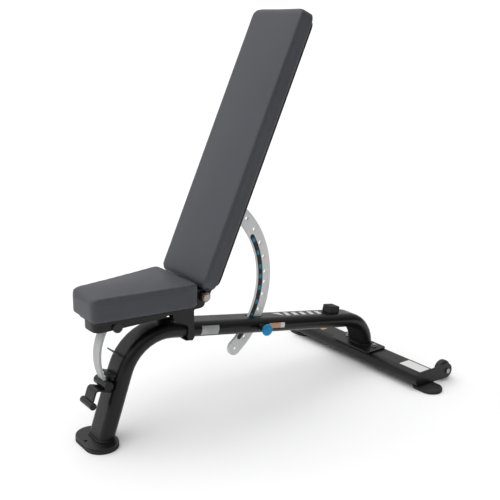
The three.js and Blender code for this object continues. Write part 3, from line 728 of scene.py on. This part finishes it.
def upholster(name, node, to_pad, floor_height, cap, stretch):
    """Foam and cover for a CAD pad. to_pad turns the bench's frame into the pad's own, with its top
    along +Z. Just above floor_height the cover is stapled to the board and stays put."""
    start = frame["nodes"][node].data.copy()
    start.transform(to_pad)
    form = bmesh.new()
    form.from_mesh(start)
    bmesh.ops.remove_doubles(form, verts=form.verts, dist=2e-6)
    for vertex in form.verts:
        stretch(vertex.co)
    form.to_mesh(start)
    form.free()
    pad = bpy.data.objects.new(name, start)
    scene.collection.objects.link(pad)
    remesh = pad.modifiers.new("remesh", "REMESH")
    remesh.mode = "VOXEL"
    remesh.voxel_size = VOXEL
    relax = pad.modifiers.new("relax", "SMOOTH")
    relax.factor = 0.5
    relax.iterations = 9
    pad.data = evaluated_mesh(pad)
    pad.modifiers.clear()
    for vertex in pad.data.vertices:
        if vertex.co.z > floor_height + 0.002:
            vertex.co -= vertex.normal * INSET * min(1.0, (vertex.co.z - floor_height) / 0.02)
    rest = np.array([vertex.co for vertex in pad.data.vertices])
    stapled = rest[:, 2] < floor_height + STAPLE_BAND
    held = pad.vertex_groups.new(name="stapled")
    held.add([v.index for v in pad.data.vertices if stapled[v.index]], 1.0, "REPLACE")
    cloth = pad.modifiers.new("cloth", "CLOTH")
    cloth.settings.use_pressure = True
    cloth.settings.uniform_pressure_force = 4.0
    cloth.settings.effector_weights.gravity = 0.0
    cloth.settings.vertex_group_mass = "stapled"
    cloth.settings.quality = 5
    cloth.settings.tension_stiffness = 25.0
    cloth.settings.compression_stiffness = 25.0
    cloth.settings.bending_stiffness = 0.8
    cloth.collision_settings.use_collision = False
    cloth.point_cache.frame_start = 1
    cloth.point_cache.frame_end = 20
    for step in range(1, 21):
        scene.frame_set(step)
    pad.data = evaluated_mesh(pad)
    pad.modifiers.clear()
    pad.vertex_groups.clear()
    inflated = np.array([vertex.co for vertex in pad.data.vertices])
    swell = even_swell(pad.data, inflated - rest, stapled)
    swell *= cap / np.linalg.norm(swell, axis=1).max()
    settled = rest + swell
    settled[:, 2] = np.maximum(settled[:, 2], np.minimum(rest[:, 2], floor_height + 0.0004))
    pad.data.vertices.foreach_set("co", settled.ravel())
    pad.data.update()
    relax = pad.modifiers.new("relax", "SMOOTH")
    relax.factor = 0.4
    relax.iterations = 4
    finer = pad.modifiers.new("finer", "SUBSURF")
    finer.levels = finer.render_levels = 1
    pad.data = evaluated_mesh(pad)
    pad.modifiers.clear()
    return pad


def seam_on(name, pad, plan, height, from_pad, body):
    """A sewn seam round the pad at one height: a thin welt, and a row of stitches just under it."""
    places = [vertex.co.copy() for vertex in pad.data.vertices]
    surface = BVHTree.FromPolygons(places, [face.vertices[:] for face in pad.data.polygons])
    welt = []
    lower = []
    for corner in plan:
        spot, normal, _, _ = surface.find_nearest(Vector((corner[0], corner[1], height)))
        welt.append(spot + normal * 0.0001)
        spot, normal, _, _ = surface.find_nearest(Vector((corner[0], corner[1], height - 0.005)))
        lower.append((spot, normal))
    for _ in range(3):
        welt = [(welt[k - 1] + welt[k] * 2 + welt[(k + 1) % len(welt)]) / 4 for k in range(len(welt))]
    line = [from_pad @ p for p in welt]
    seam = swept_bead(name + "_welt", line, 0.0005, vinyl, body)
    low_line = [from_pad @ (spot + normal * 0.0001) for spot, normal in lower]
    corners, faces = [], []
    for k in range(0, len(low_line) - 1, 2):
        along = low_line[k + 1] - low_line[k]
        turn = along.to_track_quat("Z", "Y")
        base = len(corners)
        for share, girth in ((0.1, 0.25), (0.25, 1.0), (0.75, 1.0), (0.9, 0.25)):
            for side in range(6):
                angle = math.pi * side / 3
                around = Vector((math.cos(angle), math.sin(angle), 0)) * 0.0004 * girth
                corners.append(low_line[k] + along * share + turn @ around)
        for ring in range(3):
            for side in range(6):
                a, b = base + ring * 6 + side, base + ring * 6 + (side + 1) % 6
                faces.append((a, b, b + 6, a + 6))
        faces.append(tuple(range(base + 5, base - 1, -1)))
        faces.append(tuple(range(base + 18, base + 24)))
    mesh = bpy.data.meshes.new(name + "_stitches")
    mesh.from_pydata(corners, [], faces)
    mesh.polygons.foreach_set("use_smooth", [True] * len(mesh.polygons))
    return seam, new_piece(name + "_stitches", mesh, thread, body)


def rounded_plan(corners, radius, pitch):
    """Points every pitch round a polygon (counterclockwise) with rounded corners."""
    rough = []
    count = len(corners)
    for k in range(count):
        corner = Vector(corners[k])
        before = (Vector(corners[k - 1]) - corner).normalized()
        after = (Vector(corners[(k + 1) % count]) - corner).normalized()
        reach = radius / math.tan(before.angle(after) / 2)
        first, last = corner + before * reach, corner + after * reach
        for step in range(9):
            t = step / 8
            rough.append(first * (1 - t) ** 2 + corner * 2 * t * (1 - t) + last * t * t)
    points = []
    lengths = [(rough[(k + 1) % len(rough)] - rough[k]).length for k in range(len(rough))]
    total = sum(lengths)
    number = 2 * round(total / pitch / 2)
    index, walked = 0, 0.0
    for k in range(number):
        target = total * k / number
        while walked + lengths[index] < target:
            walked += lengths[index]
            index += 1
        t = (target - walked) / lengths[index]
        points.append(tuple(rough[index].lerp(rough[(index + 1) % len(rough)], t)))
    return points


def settle_pad(pad, from_pad, node, body):
    pad.data.transform(from_pad)
    pad.data.materials.clear()
    pad.data.materials.append(vinyl)
    pad.data.polygons.foreach_set("use_smooth", [True] * len(pad.data.polygons))
    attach(pad, body)
    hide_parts(node)


BACK_ANGLE = math.radians(65)
back_frame = Matrix.Translation(pivot) @ Matrix.Rotation(-BACK_ANGLE, 4, "Y")
BACK_LOW, BACK_HIGH = 0.024, 0.927
TOP_GROWTH = 0.004
BOTTOM_GROWTH = 0.003


def longer_at_ends(point):
    """The cover bulges a little over both ends."""
    share = (point.x - BACK_LOW) / (BACK_HIGH - BACK_LOW)
    point.x += TOP_GROWTH * share - BOTTOM_GROWTH * (1 - share)


BACK_REAR = -0.009
back_cover = upholster("back_cushion", "back_pad", back_frame.inverted(), BACK_REAR, 0.0055, longer_at_ends)
back_half = 0.127
back_plan = rounded_plan(
    [(BACK_LOW, -back_half), (BACK_HIGH, -back_half), (BACK_HIGH, back_half), (BACK_LOW, back_half)],
    0.034,
    0.0042,
)
seam_on("back_seam", back_cover, back_plan, 0.034, back_frame, "back")
settle_pad(back_cover, back_frame, "back_pad", "back")

seat_low, seat_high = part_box("seat_pad")
SEAT_REAR_GROWTH = 0.019
REAR_ROUND = 0.03


def fuller_behind(point):
    """The cover bulges further towards the back pad than the seat's solid does, over a squarer edge."""
    across_x = (point.x - (seat_high.x - REAR_ROUND)) / REAR_ROUND
    across_z = (point.z - (seat_high.z - REAR_ROUND)) / REAR_ROUND
    if across_x > 0 and across_z > 0:
        fuller = (across_x ** 6 + across_z ** 6) ** (1 / 6)
        round_now = math.hypot(across_x, across_z)
        point.x = seat_high.x - REAR_ROUND + REAR_ROUND * across_x * round_now / fuller
        point.z = seat_high.z - REAR_ROUND + REAR_ROUND * across_z * round_now / fuller
    share = (point.x - seat_low.x) / (seat_high.x - seat_low.x)
    point.x += SEAT_REAR_GROWTH * share ** 2 - 0.004 * (1 - share)


seat_cover = upholster("seat_cushion", "seat_pad", Matrix.Identity(4), seat_low.z, 0.006, fuller_behind)
front_half, rear_half = 0.075, 0.127
seat_front, seat_rear = seat_low.x - 0.002, seat_high.x + 0.017
seat_plan = rounded_plan(
    [(seat_front, -front_half), (seat_rear, -rear_half), (seat_rear, rear_half), (seat_front, front_half)],
    0.026,
    0.0042,
)
seat_seam = seam_on("seat_seam", seat_cover, seat_plan, seat_low.z + 0.058, Matrix.Identity(4), "seat")
settle_pad(seat_cover, Matrix.Identity(4), "seat_pad", "seat")
# Each seat piece gets its own copy of its mesh.
for piece in (seat_cover, *seat_seam):
    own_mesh(piece)

# ---- Labels and marks ----
# Blank foil and paper labels wrapped on the beam's rounded side, one on the crossbar's flat top at each
# end, and a plain white stripe mark printed on the beam's top.
foil_label = finish_of(
    "foil_label", (0.28, 0.285, 0.29, 1), (0.42, 0.425, 0.43, 1), (0.34, 0.46), metal=0.1, drift_scale=30.0
)
paper_label = finish_of("paper_label", (0.6, 0.6, 0.59, 1), (0.7, 0.7, 0.69, 1), (0.45, 0.6))
amber_label = finish_of("amber_label", (0.5, 0.27, 0.14, 1), (0.6, 0.37, 0.22, 1), (0.45, 0.6))
mark_ink = finish_of("mark_ink", (0.62, 0.63, 0.63, 1), (0.72, 0.73, 0.73, 1), (0.45, 0.6))
BEAM_SLOPE = math.radians(10)
BEAM_DROP = 0.1254
off_beam = Vector((math.sin(BEAM_SLOPE), 0, math.cos(BEAM_SLOPE)))


def beam_centre(x):
    """The beam's centre line, x metres behind the axle."""
    return Vector((pivot.x + x, 0, pivot.z - BEAM_DROP - math.tan(BEAM_SLOPE) * x))


def side_label(name, start, end, low_degrees, high_degrees, material, proud=0.0003):
    """A label wrapped on the beam's near rounded side, between two places and two angles from level."""
    form = bmesh.new()
    steps = 10
    rows = []
    for x in (start, end):
        row = []
        for lift in (0.00005, proud):
            for k in range(steps + 1):
                angle = math.radians(low_degrees + (high_degrees - low_degrees) * k / steps)
                reach = TUBE_RADIUS + lift
                row.append(
                    form.verts.new(
                        beam_centre(x)
                        + off_beam * reach * math.sin(angle)
                        - Vector((0, TUBE_HALF_STRAIGHT + reach * math.cos(angle), 0))
                    )
                )
        rows.append(row)
    loop = list(range(steps + 1)) + list(range(2 * steps + 1, steps, -1))
    for k in range(len(loop)):
        a, b = loop[k], loop[(k + 1) % len(loop)]
        form.faces.new((rows[0][a], rows[0][b], rows[1][b], rows[1][a]))
    form.faces.new([rows[0][k] for k in loop][::-1])
    form.faces.new([rows[1][k] for k in loop])
    bmesh.ops.recalc_face_normals(form, faces=form.faces)
    mesh = bpy.data.meshes.new(name)
    form.to_mesh(mesh)
    form.free()
    smooth_by_area(new_piece(name, mesh, material, "frame"))


side_label("foil_side_label", 0.015, 0.080, -38, 34, foil_label)
side_label("amber_side_label", 0.285, 0.333, -14, 26, amber_label)
side_label("white_side_label", 0.3335, 0.351, -14, 26, paper_label)


def beam_top_mark(name, corners):
    """A flat print on the beam's top; corners are (distance behind the axle, place across) pairs."""
    outline = [beam_centre(x) + off_beam * (TUBE_RADIUS + 0.00005) + Vector((0, y, 0)) for x, y in corners]
    printed_sheet(name, outline, off_beam * 0.0002, mark_ink, "frame")


beam_top_mark("mark_wedge", [(0.340, 0.018), (0.372, -0.016), (0.372, 0.018)])
for number in range(5):
    left = 0.384 + number * 0.036
    beam_top_mark(
        f"mark_bar_{number}",
        [(left, -0.016), (left + 0.018, -0.016), (left + 0.026, 0.018), (left + 0.008, 0.018)],
    )


crossbar_low, crossbar_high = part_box("crossbar_tube")


def crossbar_top_label(name, x0, x1, y0, y1, material):
    """A label on the crossbar's flat top; x0 and x1 run from the tube's centre line."""
    middle = (crossbar_low.x + crossbar_high.x) / 2
    corners = ((x0, y0), (x1, y0), (x1, y1), (x0, y1))
    outline = [Vector((middle + x, y, crossbar_high.z + 0.00005)) for x, y in corners]
    printed_sheet(name, outline, Vector((0, 0, 0.0002)), material, "frame")


crossbar_top_label("paper_top_label", -0.0245, 0.0245, -0.327, -0.229, paper_label)
crossbar_top_label("amber_top_label", -0.0245, 0.0, 0.185, 0.205, amber_label)
